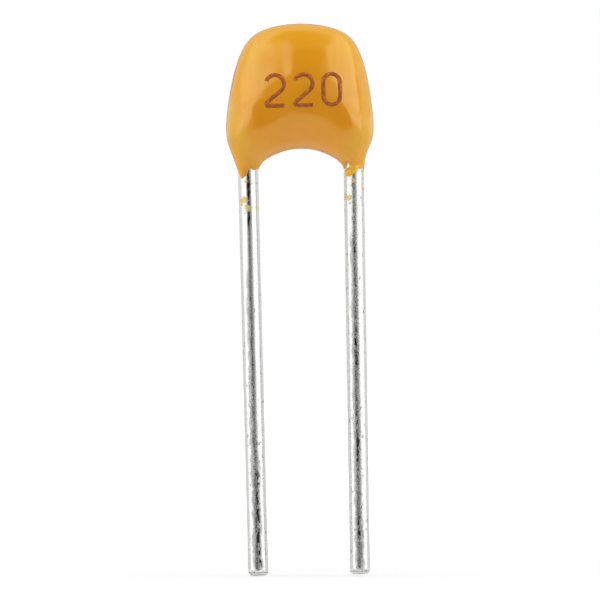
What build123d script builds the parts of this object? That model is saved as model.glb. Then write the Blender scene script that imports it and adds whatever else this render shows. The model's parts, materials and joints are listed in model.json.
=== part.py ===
"""Radial-lead multilayer ceramic capacitor with a dipped epoxy coating.

Millimetres, +Z up, +X to the right seen from the front, +Y to the back. The origin lies midway
between the two leads, at the height where the coating ends and the bare leads begin.

A fired ceramic block holds seven printed electrodes that run out to its left and right ends in
turn. A metal termination caps each end, solder joins each termination to a tinned lead, and one
dipped coat of epoxy covers all of it down to the top of the bare leads.
"""

import os

from build123d import *

os.makedirs("parts", exist_ok=True)

# Leads: drawn wire, straight inside the coating and bent a little to the right where it leaves it
lead_diameter = 0.5
lead_pitch = 2.64  # between the lead centres inside the coating
lead_length = 9.8  # straight run below the bend
lead_bend_radius = 4.0
lead_bend_depth = 0.1  # from the origin down to where the bend starts
left_lead_lean = 1.47  # degrees
right_lead_lean = 0.9  # degrees
lead_end_round = 0.06  # rounded edge of the cut end
lead_stop = 0.35  # from a lead's upper end up to the top of the ceramic

# Ceramic chip: fits between the leads, with a film of solder at each end
solder_film = 0.07
chip_height = 1.25
chip_thickness = 1.0  # ceramic only, front to back
chip_lift = 1.55  # from the origin up to the underside of the ceramic
chip_edge_break = 0.06  # tumbled edges of the ceramic
termination_wall = 0.03
termination_band = 0.4  # how far a termination reaches along the chip

# Electrodes: thin plates, one gap of ceramic apart
electrode_count = 7
electrode_thickness = 0.003
electrode_gap = 0.1  # from one plate's middle to the next
electrode_side_margin = 0.16  # bare ceramic above and below each plate
electrode_end_margin = 0.25  # bare ceramic between a plate's free end and the far end

# Solder joints: a hollow-sided fillet along each lead, drawn in at both ends
solder_end_gap = 0.1  # bare ceramic height below the solder, and bare lead above it
solder_side_gap = 0.13  # bare termination beside the solder at its widest
solder_hollow_share = 0.14  # depth of the hollow, as a share of its chord

# Epoxy coat: walls over the parts inside
coat_side_wall = 0.2725  # outside the leads, at the widest place
coat_face_wall = 0.62  # over the front and back of the terminations
coat_top_wall = 0.99  # over the top of the ceramic
coat_film = 0.04  # on the leads, where the coat runs out
coat_end_drop = 0.16  # the left side of a leg's end hangs this much lower than the right
coat_arch_height = 0.675  # crown of the arch between the legs
coat_shift = -0.03  # the coat's top lies a little to the left of the leads' middle

# Sizes that follow from those above
lead_radius = lead_diameter / 2
chip_length = lead_pitch - lead_diameter - 2 * solder_film  # over the terminations
ceramic_length = chip_length - 2 * termination_wall
chip_middle = chip_lift + chip_height / 2
chip_top = chip_lift + chip_height
lead_top = chip_top - lead_stop
termination_thickness = chip_thickness + 2 * termination_wall
solder_bottom = chip_lift + solder_end_gap
solder_top = lead_top - solder_end_gap
solder_seat_width = termination_thickness - 2 * solder_side_gap
leg_radius = lead_radius + coat_film
leg_reach = lead_pitch / 2 + leg_radius  # from the middle to the outer edge of a leg's end
arch_half_span = lead_pitch / 2 - leg_radius
coat_bulge = coat_side_wall - coat_film  # how far the sides stand out past the legs' ends
coat_swell = termination_thickness / 2 + coat_face_wall - leg_radius  # the same, front and back
coat_height = chip_top + coat_top_wall

# The coat is a fat arch: oval sections fan round from one leg, over the top, to the other leg.
# Each row of shares places one section of the right half, from the leg up to the middle.
# Outer end: across, as shares of the leg's reach and of the bulge, and up, as a share of the height.
# Inner end: across and up, as shares of the arch's half span and height. Last: a share of the swell.
coat_section_shares = [
    (1.000, 0.049, 0.086, 0.995, 0.330, 0.051),
    (1.000, 0.588, 0.192, 0.937, 0.487, 0.211),
    (1.000, 0.937, 0.268, 0.840, 0.612, 0.385),
    (1.000, 0.945, 0.375, 0.700, 0.732, 0.586),
    (1.000, 0.643, 0.505, 0.535, 0.845, 0.766),
    (1.000, 0.152, 0.668, 0.355, 0.938, 0.886),
    (0.870, 0.000, 0.850, 0.205, 0.982, 0.953),
    (0.579, 0.000, 0.957, 0.090, 0.997, 0.987),
]
coat_middle_shares = (0.0, 0.0, 1.0, 0.0, 1.0, 1.0)


def make_lead(side, lean):
    """One wire: upright beside the chip, bent at the coating's end, straight to its rounded cut end."""
    centre = side * lead_pitch / 2
    bend_centre = centre + lead_bend_radius
    with BuildPart() as lead:
        with BuildSketch(Plane((centre, 0, -lead_bend_depth))):
            Circle(lead_radius)
        extrude(amount=lead_bend_depth + lead_top)
        bend_axis = Axis((bend_centre, 0, -lead_bend_depth), (0, -1, 0))
        revolve(lead.faces().sort_by(Axis.Z)[0], axis=bend_axis, revolution_arc=lean)
        extrude(lead.faces().sort_by(Axis.Z)[0], amount=lead_length)
        fillet(lead.edges().sort_by(Axis.Z)[0], lead_end_round)
    return lead.part


leads = {-1: make_lead(-1, left_lead_lean), 1: make_lead(1, right_lead_lean)}


def make_electrode(index):
    """One printed plate: it reaches the ceramic's end on its own side and stops short of the other."""
    depth = (index - (electrode_count - 1) / 2) * electrode_gap
    side = -1 if index % 2 == 0 else 1
    plate_middle = side * electrode_end_margin / 2
    plate_length = ceramic_length - electrode_end_margin
    plate_height = chip_height - 2 * electrode_side_margin
    with BuildPart() as plate:
        with BuildSketch(Plane.XZ.offset(-depth)):
            with Locations((plate_middle, chip_middle)):
                Rectangle(plate_length, plate_height)
        extrude(amount=electrode_thickness / 2, both=True)
    return plate.part


electrodes = [make_electrode(index) for index in range(electrode_count)]

# The ceramic before its plates are let in, which the terminations are fitted over
with BuildPart() as blank:
    with BuildSketch(Plane.XY.offset(chip_lift)):
        Rectangle(ceramic_length, chip_thickness)
    extrude(amount=chip_height)
    chamfer(blank.edges(), chip_edge_break)

with BuildPart() as ceramic:
    add(blank.part)
    add(electrodes, mode=Mode.SUBTRACT)


def make_termination(side):
    """A thin five-sided metal cap over one end of the ceramic."""
    cap_middle = side * (chip_length - termination_band) / 2
    with BuildPart() as cap:
        with BuildSketch(Plane.XY.offset(chip_lift - termination_wall)):
            with Locations((cap_middle, 0)):
                Rectangle(termination_band, termination_thickness)
        extrude(amount=chip_height + 2 * termination_wall)
        ends = cap.faces().filter_by(Axis.X).sort_by(Axis.X)
        rim_edges = (ends[0] if side > 0 else ends[-1]).edges()
        fillet(cap.edges() - rim_edges, chip_edge_break + termination_wall)
        add(blank.part, mode=Mode.SUBTRACT)
    return cap.part


terminations = {-1: make_termination(-1), 1: make_termination(1)}


def make_solder(side):
    """Solder between one termination and its lead: hollow sides, widest halfway up the lead."""
    lead_centre = side * lead_pitch / 2
    seat = side * chip_length / 2
    crest = Vector(lead_centre, lead_radius)
    solder_middle = (solder_bottom + solder_top) / 2
    seat_widths = {solder_bottom: lead_diameter, solder_middle: solder_seat_width, solder_top: lead_diameter}
    with BuildPart() as joint:
        for height, seat_width in seat_widths.items():
            corner = Vector(seat, seat_width / 2)
            hollow = side * solder_hollow_share * (crest - corner).length
            with BuildSketch(Plane.XY.offset(height)):
                with BuildLine():
                    on_cap = Line((seat, -seat_width / 2), corner)
                    SagittaArc(on_cap @ 1, crest, hollow)
                    across_lead = Line(crest, (lead_centre, -lead_radius))
                    SagittaArc(across_lead @ 1, on_cap @ 0, hollow)
                make_face()
        loft()
        add(leads[side], mode=Mode.SUBTRACT)
    return joint.part


solders = {-1: make_solder(-1), 1: make_solder(1)}


def coat_section(side, shares):
    """Inner end, outer end and half depth of one oval section, on the side asked for."""
    reach, bulge, rise, arch_reach, arch_rise, swell = shares
    outer_x = side * (reach * leg_reach + bulge * coat_bulge) + swell * coat_shift
    outer = Vector(outer_x, 0, rise * coat_height)
    inner = Vector(side * arch_reach * arch_half_span, 0, arch_rise * coat_arch_height)
    return inner, outer, leg_radius + swell * coat_swell


def leg_end(side):
    """The round section where the coat runs out on a lead, hanging lower on its left."""
    half_drop = coat_end_drop / 2
    inner = Vector(side * arch_half_span, 0, -side * half_drop)
    outer = Vector(side * leg_reach, 0, side * half_drop)
    return inner, outer, leg_radius


right_half = [coat_section(1, shares) for shares in coat_section_shares]
left_half = [coat_section(-1, shares) for shares in reversed(coat_section_shares)]
top_middle = coat_section(1, coat_middle_shares)
coat_sections = [leg_end(1), *right_half, top_middle, *left_half, leg_end(-1)]

front_to_back = Vector(0, 1, 0)
with BuildPart() as coat:
    for inner, outer, half_depth in coat_sections:
        along = outer - inner
        section_plane = Plane((inner + outer) / 2, x_dir=along, z_dir=along.cross(front_to_back))
        with BuildSketch(section_plane):
            with BuildLine():
                for start_angle in (0, 90, 180, 270):
                    EllipticalCenterArc((0, 0), along.length / 2, half_depth, start_angle, arc_size=90)
            make_face()
    loft()
    inside = [blank.part, *terminations.values(), *solders.values(), *leads.values()]
    add(inside, mode=Mode.SUBTRACT)

# One file for each piece
pieces = {"epoxy_coating": coat.part, "ceramic_block": ceramic.part}
for index, plate in enumerate(electrodes):
    pieces[f"electrode_{index + 1}"] = plate
for side, side_name in ((-1, "left"), (1, "right")):
    pieces[f"termination_{side_name}"] = terminations[side]
    pieces[f"solder_{side_name}"] = solders[side]
    pieces[f"lead_{side_name}"] = leads[side]
for name, piece in pieces.items():
    piece.label = name
    export_step(piece, f"parts/{name}.step")
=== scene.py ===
"""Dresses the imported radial-lead ceramic capacitor: its dipped coat, tinned wires, printed value and studio.

Metres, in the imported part's own frame: +Z up, +X to the right seen from the front, +Y to the back, with the
origin midway between the two leads where the coat runs out. A side of -1 is the left one and 1 the right one.
"""

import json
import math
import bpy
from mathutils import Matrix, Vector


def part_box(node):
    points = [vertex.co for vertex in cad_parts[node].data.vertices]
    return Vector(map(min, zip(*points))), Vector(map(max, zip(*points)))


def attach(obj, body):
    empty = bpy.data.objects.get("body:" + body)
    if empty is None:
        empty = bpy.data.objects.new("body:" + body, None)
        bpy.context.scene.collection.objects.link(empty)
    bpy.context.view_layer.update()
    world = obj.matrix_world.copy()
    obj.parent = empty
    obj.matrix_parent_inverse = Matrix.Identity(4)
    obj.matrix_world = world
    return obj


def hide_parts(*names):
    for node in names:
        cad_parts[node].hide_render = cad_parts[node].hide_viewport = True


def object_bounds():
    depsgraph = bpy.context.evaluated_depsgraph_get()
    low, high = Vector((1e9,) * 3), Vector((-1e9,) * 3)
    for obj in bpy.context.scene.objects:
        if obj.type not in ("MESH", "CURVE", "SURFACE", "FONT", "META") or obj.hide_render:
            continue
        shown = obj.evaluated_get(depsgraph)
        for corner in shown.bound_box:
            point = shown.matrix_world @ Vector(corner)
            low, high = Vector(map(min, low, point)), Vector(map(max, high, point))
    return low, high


bl_info = {
    "name": "Dipped Ceramic Capacitor",
    "version": (1, 0, 0),
    "blender": (4, 5, 0),
    "location": "3D View > Sidebar > Capacitor",
    "description": "Builds the coat, wires, value print and studio of a radial-lead ceramic capacitor",
    "category": "Object",
}

import bmesh
import bpy
from bpy.props import FloatProperty, FloatVectorProperty, IntProperty, PointerProperty
from mathutils import Matrix, Vector, noise
from mathutils.bvhtree import BVHTree

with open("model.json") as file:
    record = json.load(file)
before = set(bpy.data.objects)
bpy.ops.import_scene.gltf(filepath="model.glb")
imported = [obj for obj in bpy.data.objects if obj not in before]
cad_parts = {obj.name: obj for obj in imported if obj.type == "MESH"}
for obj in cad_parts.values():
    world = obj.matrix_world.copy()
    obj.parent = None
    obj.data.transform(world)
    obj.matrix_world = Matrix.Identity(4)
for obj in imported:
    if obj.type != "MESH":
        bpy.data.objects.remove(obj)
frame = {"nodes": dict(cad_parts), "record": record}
CAD_LOW, CAD_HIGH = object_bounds()

MM = 0.001
SIDES = (-1, 1)
LEAD_NAMES = {-1: "lead_left", 1: "lead_right"}
WIRE_NAMES = {-1: "wire_left", 1: "wire_right"}
FLECK_NAMES = {-1: "coat_flecks_left", 1: "coat_flecks_right"}
COAT_LOW, COAT_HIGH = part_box("epoxy_coating")
LEAD_LOW = {-1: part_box("lead_left")[0], 1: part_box("lead_right")[0]}
LEAD_HIGH = {-1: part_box("lead_left")[1], 1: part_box("lead_right")[1]}
LEAD_RADIUS = (LEAD_HIGH[-1].y - LEAD_LOW[-1].y) / 2
LEAD_X = {side: LEAD_LOW[side].x + LEAD_RADIUS for side in SIDES}
LEAD_PITCH = LEAD_X[1] - LEAD_X[-1]
PIN_AXES = {mount["name"]: Vector(mount["axis"]) for mount in frame["record"]["mounts"]}

# Oval sections of the right half of the coat, from the leg up to the middle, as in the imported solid.
# Outer end: across, as shares of the leg's reach and of the bulge, and up, as a share of the height.
# Inner end: across and up, as shares of the arch's half span and height. Last: a share of the swell.
COAT_SECTION_SHARES = [
    (1.000, 0.588, 0.192, 0.937, 0.487, 0.211),
    (1.000, 0.937, 0.268, 0.840, 0.612, 0.385),
    (1.000, 0.945, 0.375, 0.700, 0.732, 0.586),
    (1.000, 0.643, 0.505, 0.535, 0.845, 0.766),
    (1.000, 0.152, 0.668, 0.355, 0.938, 0.886),
    (0.870, 0.000, 0.850, 0.205, 0.982, 0.953),
    (0.579, 0.000, 0.957, 0.090, 0.997, 0.987),
]
COAT_MIDDLE_SHARES = (0.0, 0.0, 1.0, 0.0, 1.0, 1.0)

# What the dip adds to the bulge on each side, row by row, as shares of the bulge
DIP_SHARES = {
    -1: (0.24, 0.16, 0.11, 0.09, 0.03, 0.00, 0.00),
    1: (-0.13, -0.02, 0.00, 0.04, 0.06, 0.09, 0.19),
}

# Rings between the ragged hem of a leg and its first oval section, as shares of the way up
LEG_RING_SHARES = (0.10, 0.28, 0.52, 0.76)

# How soon each leg swells above its hem, sideways and front to back: 1 at once, more the later
LEG_FLARE = {-1: 1.05, 1: 2.2}
LEG_DEPTH_FLARE = 1.6

# Ragged hem of each leg: its height in mm, then waves in it, each a turn round the lead from the front and a
# spread in degrees, and a rise in mm
HEM_LEVEL_MM = {-1: 0.118, 1: 0.165}
HEM_WAVES = {
    -1: [
        (-38, 26, -0.215),
        (-9, 11, -0.095),
        (10, 8, 0.12),
        (84, 30, 0.06),
        (150, 24, -0.10),
        (205, 18, 0.09),
    ],
    1: [
        (-37, 15, 0.15),
        (3, 14, -0.06),
        (140, 24, -0.16),
        (205, 18, 0.08),
    ],
}

# Epoxy left on the bare leads: side, turn from the front in degrees, height in mm,
# half width, half height and thickness in mm, tilt in degrees
FLECK_ROWS = [
    (-1, -28, -0.61, 0.150, 0.110, 0.005, 12),
    (-1, -52, -0.66, 0.070, 0.130, 0.005, 0),
    (-1, -7, -0.82, 0.105, 0.125, 0.005, 25),
    (-1, -14, -0.15, 0.055, 0.050, 0.005, 15),
    (-1, 19, -0.21, 0.038, 0.034, 0.005, 15),
    (-1, 50, -0.80, 0.040, 0.080, 0.005, 0),
    (1, -28, -0.56, 0.090, 0.110, 0.004, -30),
    (1, -2, -0.13, 0.060, 0.075, 0.006, 10),
    (1, 62, -0.27, 0.060, 0.090, 0.005, 0),
    (1, 70, 0.02, 0.070, 0.150, 0.004, 0),
    (-1, 150, -0.45, 0.110, 0.130, 0.006, -14),
    (1, 165, -0.70, 0.090, 0.110, 0.006, 18),
]

# A drip that hangs from the right leg and a bead below it, in the same columns
DRIP_ROWS = [
    (1, -64, -0.53, 0.050, 0.098, 0.014, -4),
    (1, -27, 0.090, 0.150, 0.108, 0.062, 22),
    (1, -1, 0.195, 0.140, 0.110, 0.050, 36),
]

# How ragged the scraps are, as a share of their size, and how often that changes over them
FLECK_RAGGED_SHARE = 0.2
FLECK_RAGGED_SCALE = 1.3

# Sizes of the slow waves in the coat's skin, the ripples in the tin and the ragged edges of the print
COAT_WAVE = 0.9 * MM
TIN_RIPPLE = Vector((0.22, 0.22, 0.75)) * MM
PRINT_RIPPLE = 0.045 * MM

# Seed of the print's ragged edges, which are otherwise drawn by the clock and differ from run to run
PRINT_SEED = 1

# Painted reflection down the front of the wires: dull and dark bands laid into the tin's colour in place of
# the studio's dark front reflected there. Side, tone, how far right of the wire's middle in mm, half width and
# softness in mm, lower and upper end in mm, and how broken it is from 0 to 1
PAINTED_REFLECTION_ROWS = [
    (-1, "dull", -0.078, 0.045, 0.022, -9.83, -2.40, 0.3),
    (-1, "dull", 0.085, 0.030, 0.022, -9.83, -7.00, 0.5),
    (-1, "dark", 0.006, 0.030, 0.016, -1.25, 0.60, 0.3),
    (-1, "dark", 0.040, 0.030, 0.016, -9.80, -7.40, 1.0),
    (1, "dull", -0.072, 0.045, 0.022, -9.83, -1.50, 0.3),
    (1, "dull", 0.080, 0.030, 0.022, -9.83, -8.60, 0.3),
    (1, "dark", -0.020, 0.026, 0.016, -1.95, -1.60, 1.0),
    (1, "dark", -0.015, 0.030, 0.016, -4.75, -3.85, 1.0),
    (1, "dark", -0.020, 0.024, 0.016, -6.10, -5.85, 1.0),
    (1, "dark", -0.010, 0.028, 0.016, -7.25, -6.45, 1.0),
    (1, "dark", -0.010, 0.026, 0.016, -9.00, -8.50, 1.0),
]

# How far a band of painted reflection strays sideways, how it fades at its lower and upper end, how far to the
# front it is full, and the grain that breaks it up
PAINTED_REFLECTION_STRAY_MM = 0.05
PAINTED_REFLECTION_LOW_FADE_MM = 0.06
PAINTED_REFLECTION_HIGH_FADE_MM = 0.20
PAINTED_REFLECTION_FRONT = 0.05 * MM
PAINTED_REFLECTION_BREAKS = (0.5, 0.75)

# Where the tin changes, from where that begins to where it is full: on the left wire, on its calm upper run,
# on its bright stretch by the coat, and at a dull cut end, by the height above it
LEFT_PLACES = (0.2 * MM, -0.2 * MM)
CALM_HEIGHTS = (-6.5 * MM, -4.5 * MM)
BRIGHT_HEIGHTS = (-1.5 * MM, -1.1 * MM)
CUT_HEIGHTS = (0.17 * MM, 0.10 * MM)

# Where the epoxy changes colour: from where it starts to turn redder towards the bottom to where that is full,
# over what height it turns thin, and how near to the outline, which is at 1, its painted highlight tint starts
# and is full. Then how much darker and lighter its clouds are, and how much duller it is when thin
LOWER_TONE_HEIGHTS = (3.4 * MM, 1.2 * MM)
THIN_FADE = 0.8 * MM
HIGHLIGHT_TINT_SHARES = (0.72, 0.95)
CLOUD_GAINS = (0.97, 1.03)
THIN_DULLING = 0.07

# How much darker and lighter the clouds in the ink are
INK_GAINS = (0.75, 1.3)

# Film of the scraps: how far grain eats into it, its cover where it starts and is full, and how dense it is
FLECK_GRAIN = 0.5
FLECK_COVERS = (-0.25, 0.35)
FLECK_DENSITY = 0.72

# Finishes inside the coat: material, darker and lighter tone, metallic, roughness and scale of the clouds
CORE_FINISHES = {
    "ceramic": ("fired ceramic", (0.62, 0.47, 0.34), (0.70, 0.55, 0.42), 0.0, 0.55, 4000.0),
    "electrode": ("printed plate", (0.50, 0.49, 0.47), (0.62, 0.61, 0.58), 1.0, 0.40, 6000.0),
    "termination": ("plated end", (0.66, 0.66, 0.65), (0.80, 0.80, 0.79), 1.0, 0.35, 5000.0),
    "solder": ("solder", (0.60, 0.60, 0.61), (0.74, 0.74, 0.75), 1.0, 0.28, 3000.0),
}

# What polished surfaces see: levels of the soft walls, the dark front, the haze beside the camera,
# the low and high back, the back level with the part and the ground
WALL_LEVEL = 1.9
DARK_LEVEL = 0.02
HAZE_LEVEL = 0.42
LOW_BACK_LEVEL = 0.68
HIGH_BACK_LEVEL = 0.55
EYE_BACK_LEVEL = 0.93
GROUND_LEVEL = 0.70

# The two soft walls: inner edge in degrees off the camera's line, its softness, how it fans out towards and
# below eye level, how far to the back the wall starts to fade and ends, how much further for each degree up,
# its top in degrees, the softness of that, and what is left of its level higher up
WALLS = (
    {
        "side": -1, "edge": 10.5, "soft": 7.0, "fan": 1.05, "low_fan": 1.3,
        "near": -0.30, "far": 0.47, "lean": 0.0100,
        "top": 72.0, "top_soft": 8.0, "high_share": 0.72,
    },
    {
        "side": 1, "edge": 13.5, "soft": 5.0, "fan": 1.45, "low_fan": 0.9,
        "near": -0.06, "far": 0.09, "lean": 0.0093,
        "top": 69.0, "top_soft": 6.0, "high_share": 0.74,
    },
)

# Degrees above eye level where what they see changes
FAN_RISE = 13.0
LEAN_RISE = 8.0
SHADE_RISES = (8.0, 40.0)
FOOT_RISES = (-25.0, -11.0)
ROOF_RISES = (45.0, 62.0)
EYE_RISES = (7.0, 3.0)
BACK_RISES = (10.0, 36.0)
LOW_BACK_RISES = (-40.0, -8.0)
GROUND_RISES = (-33.0, -44.0)

# How far to the back they look, from -1 to 1, where what they see changes
ROOF_DEPTHS = (-0.15, 0.55)
BACK_DEPTHS = (0.08, 0.32)
EYE_BACK_DEPTHS = (-0.12, 0.08)
FAR_BACK_DEPTHS = (0.86, 0.98)

# What is left of a level: of the walls high up at the back and at eye level, of the back low down and
# straight behind, and of the haze in its dark core
ROOF_SHARE = 0.5
EYE_WALL_SHARE = 0.76
LOW_BACK_SHARE = 0.6
FAR_BACK_SHARE = 0.45
HAZE_CORE_SHARE = 0.22

# Dark core of the haze: its middle in degrees aside, and how far off that it starts to fade and ends
HAZE_CORE_ASIDE = -6.0
HAZE_CORE_WIDTHS = (3.0, 15.0)

# The ground's edge: how it rises towards the sides, and how much more beyond an angle in degrees
GROUND_LIFT = 0.22
GROUND_STEEP_LIFT = 0.3
GROUND_STEEP_ASIDE = 35.0

# Floor: gap under the part, half width, and how far off the shade round the feet starts to fade and ends
FLOOR_GAP = 0.01 * MM
FLOOR_REACH = 400 * MM
FLOOR_SHADE_REACHES = (16 * MM, 50 * MM)

# Soft side lamps: name, turn from the camera in degrees and share of their level. Then, in lamp distances,
# how far up they stand, their width and height, and where the top lamp stands from what all lamps face
SIDE_LAMPS = (("left soft lamp", -80, 0.93), ("right soft lamp", 88, 1.0))
SIDE_LAMP_RISE = 0.08
SIDE_LAMP_SIZE = (1.2, 1.6)
TOP_LAMP_PLACE = Vector((0, -0.1, 1))
LAMP_AIM = Vector((0, 0, 1.9 * MM))


# Properties


class CoatProperties(bpy.types.PropertyGroup):
    """Shape and colour of the dipped coat."""

    film: FloatProperty(
        name="Film", description="Epoxy over the lead where a leg begins",
        default=0.04 * MM, unit="LENGTH", precision=6,
    )
    hem_film: FloatProperty(
        name="Hem Film", description="Epoxy over the lead at the ragged hem",
        default=0.014 * MM, unit="LENGTH", precision=6,
    )
    bulge: FloatProperty(
        name="Bulge", description="How far the sides stand out past the legs",
        default=0.2325 * MM, unit="LENGTH", precision=6,
    )
    arch_height: FloatProperty(
        name="Arch Height", description="Crown of the arch between the legs",
        default=0.662 * MM, unit="LENGTH", precision=6,
    )
    crown: FloatProperty(
        name="Crown", description="Extra height of the smooth top",
        default=0.015 * MM, unit="LENGTH", precision=6,
    )
    shift: FloatProperty(
        name="Shift", description="How far the top lies off the leads' middle",
        default=-0.03 * MM, unit="LENGTH", precision=6,
    )
    waviness: FloatProperty(
        name="Waviness", description="Height of the slow waves in the skin",
        default=0.016 * MM, unit="LENGTH", precision=6,
    )
    segments: IntProperty(name="Segments", description="Points round each section", default=48, min=16)
    colour: FloatVectorProperty(
        name="Colour", description="Epoxy pigment",
        default=(0.650, 0.268, 0.007), subtype="COLOR", size=3,
    )
    # Redder tone towards the bottom of the coat
    low_colour: FloatVectorProperty(
        name="Low Colour", description="Epoxy where the dip drained",
        default=(0.680, 0.256, 0.007), subtype="COLOR", size=3,
    )
    # Painted highlight tint: yellower epoxy round the outer rim, where the highlights fall
    rim_highlight_tint_colour: FloatVectorProperty(
        name="Rim Colour", description="Epoxy round the outer rim",
        default=(0.632, 0.297, 0.008), subtype="COLOR", size=3,
    )
    thin_colour: FloatVectorProperty(
        name="Thin Colour", description="Epoxy where the coat runs thin",
        default=(0.700, 0.274, 0.012), subtype="COLOR", size=3,
    )
    drip_colour: FloatVectorProperty(
        name="Drip Colour", description="Epoxy in the drip on the right lead",
        default=(0.80, 0.38, 0.012), subtype="COLOR", size=3,
    )
    scrap_colour: FloatVectorProperty(
        name="Scrap Colour", description="Epoxy in the scraps on the leads",
        default=(0.80, 0.49, 0.08), subtype="COLOR", size=3,
    )
    pale_scrap_colour: FloatVectorProperty(
        name="Pale Scrap Colour", description="The same where the metal shines through",
        default=(0.82, 0.69, 0.28), subtype="COLOR", size=3,
    )


class WireProperties(bpy.types.PropertyGroup):
    """Shape and colour of the tinned wires."""

    bend_depth: FloatProperty(
        name="Bend Depth", description="From the origin down to the bend",
        default=0.1 * MM, unit="LENGTH", precision=6,
    )
    bend_radius: FloatProperty(
        name="Bend Radius", description="Radius of the slight bend",
        default=4.0 * MM, unit="LENGTH", precision=6,
    )
    length: FloatProperty(
        name="Length", description="Straight run below the bend",
        default=9.8 * MM, unit="LENGTH", precision=6,
    )
    end_round: FloatProperty(
        name="End Round", description="Rounded edge of the cut end",
        default=0.10 * MM, unit="LENGTH", precision=6,
    )
    waviness: FloatProperty(
        name="Waviness", description="Height of the ripples in the tin",
        default=0.0025 * MM, unit="LENGTH", precision=6,
    )
    segments: IntProperty(name="Segments", description="Points round a wire", default=56, min=12)
    upright_rings: IntProperty(name="Upright Rings", description="Steps down to the bend", default=26, min=2)
    bend_rings: IntProperty(name="Bend Rings", description="Steps round the bend", default=4, min=2)
    rings: IntProperty(name="Rings", description="Steps along the straight run", default=150, min=10)
    colour: FloatVectorProperty(
        name="Colour", description="Bright tin",
        default=(0.72, 0.72, 0.71), subtype="COLOR", size=3,
    )
    # Dulled tin in random pits, and painted dark reflection in the dull bands down the wires' fronts
    pit_and_reflection_colour: FloatVectorProperty(
        name="Dull Colour", description="Dulled tin",
        default=(0.36, 0.36, 0.36), subtype="COLOR", size=3,
    )
    # Painted dark reflection in the dark bands down the wires' fronts
    dark_reflection_colour: FloatVectorProperty(
        name="Dark Colour", description="Dark marks in the tin",
        default=(0.05, 0.05, 0.055), subtype="COLOR", size=3,
    )


class MarkProperties(bpy.types.PropertyGroup):
    """Place, size and colour of the printed value."""

    left: FloatProperty(
        name="Left", description="Left edge of the print", default=-0.865 * MM, unit="LENGTH", precision=6
    )
    foot: FloatProperty(
        name="Foot", description="Foot of the print", default=1.735 * MM, unit="LENGTH", precision=6
    )
    height: FloatProperty(
        name="Height", description="Height of a figure", default=0.765 * MM, unit="LENGTH", precision=6
    )
    width: FloatProperty(
        name="Width", description="Width of a figure", default=0.45 * MM, unit="LENGTH", precision=6
    )
    advance: FloatProperty(
        name="Advance", description="From figure to figure", default=0.7125 * MM, unit="LENGTH", precision=6
    )
    stroke: FloatProperty(
        name="Stroke", description="Width of the stroke", default=0.10 * MM, unit="LENGTH", precision=6
    )
    thickness: FloatProperty(
        name="Thickness", description="Ink film", default=0.006 * MM, unit="LENGTH", precision=6
    )
    tilt: FloatProperty(
        name="Tilt", description="Turn of the line of print", default=math.radians(1.2), subtype="ANGLE"
    )
    ragged: FloatProperty(
        name="Ragged", description="Unevenness of its edges", default=0.006 * MM, unit="LENGTH", precision=6
    )
    colour: FloatVectorProperty(
        name="Colour", description="Ink", default=(0.320, 0.078, 0.016), subtype="COLOR", size=3
    )
    speck_colour: FloatVectorProperty(
        name="Speck Colour", description="Thin places in the ink",
        default=(0.50, 0.20, 0.06), subtype="COLOR", size=3,
    )


class StageProperties(bpy.types.PropertyGroup):
    """Studio round the part."""

    camera_distance: FloatProperty(
        name="Camera Distance", description="From the lens to the part",
        default=200 * MM, unit="LENGTH", precision=4,
    )
    view_width: FloatProperty(
        name="View Width", description="Width of the picture at the part",
        default=15 * MM, unit="LENGTH", precision=5,
    )
    aim: FloatVectorProperty(
        name="Aim", description="Middle of the picture",
        default=(-0.0275 * MM, 0, -3.1125 * MM), subtype="XYZ", size=3,
    )
    lamp_distance: FloatProperty(
        name="Lamp Distance", description="From a soft lamp to the part",
        default=100 * MM, unit="LENGTH", precision=4,
    )
    side_level: FloatProperty(
        name="Side Level", description="Brightness of the side lamps", default=2.22, min=0
    )
    top_level: FloatProperty(
        name="Top Level", description="Brightness of the top lamp", default=2.75, min=0
    )
    room_level: FloatProperty(
        name="Room Level", description="Brightness of the room on dull surfaces", default=0.45, min=0
    )


# Meshes


def set_piece(name, bm):
    """Turns a bmesh into a smooth-shaded piece that rides on the part."""
    mesh = bpy.data.meshes.new(name)
    bm.to_mesh(mesh)
    bm.free()
    mesh.shade_smooth()
    piece = bpy.data.objects.new(name, mesh)
    bpy.context.scene.collection.objects.link(piece)
    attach(piece, "root")
    return piece


def add_subdivision(piece, levels):
    """Finishes a piece with a smooth subdivided skin."""
    modifier = piece.modifiers.new("Smooth Skin", "SUBSURF")
    modifier.levels = levels
    modifier.render_levels = levels


def add_ring(bm, matrix, segments):
    """A closed loop of edges: a unit circle taken through the matrix."""
    verts = bmesh.ops.create_circle(bm, segments=segments, radius=1.0, cap_ends=False, matrix=matrix)["verts"]
    edges = list({edge for vert in verts for edge in vert.link_edges})
    return verts, edges


def bridge_rings(bm, rings):
    """Skins a row of rings in order."""
    for (_, lower), (_, upper) in zip(rings, rings[1:]):
        bmesh.ops.bridge_loops(bm, edges=lower + upper)


def close_ends(bm, rings):
    """Caps the first and the last ring."""
    for _, edges in (rings[0], rings[-1]):
        bmesh.ops.contextual_create(bm, geom=edges)


def face_outwards(bm):
    """Turns the faces of a closed mesh outwards and brings its normals up to date."""
    bmesh.ops.recalc_face_normals(bm, faces=bm.faces)
    bm.normal_update()


def oval_matrix(inner, outer, half_depth):
    """Takes a unit circle to the oval that reaches from inner to outer and half_depth front and back."""
    half = (outer - inner) / 2
    back = Vector((0, half_depth, 0))
    matrix = Matrix((half, back, half.cross(back).normalized())).transposed().to_4x4()
    matrix.translation = (inner + outer) / 2
    return matrix


def turn_from_front(point, centre_x):
    """Turn of a point round a lead, in degrees from the front towards the right."""
    return math.degrees(math.atan2(point.x - centre_x, -point.y))


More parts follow.
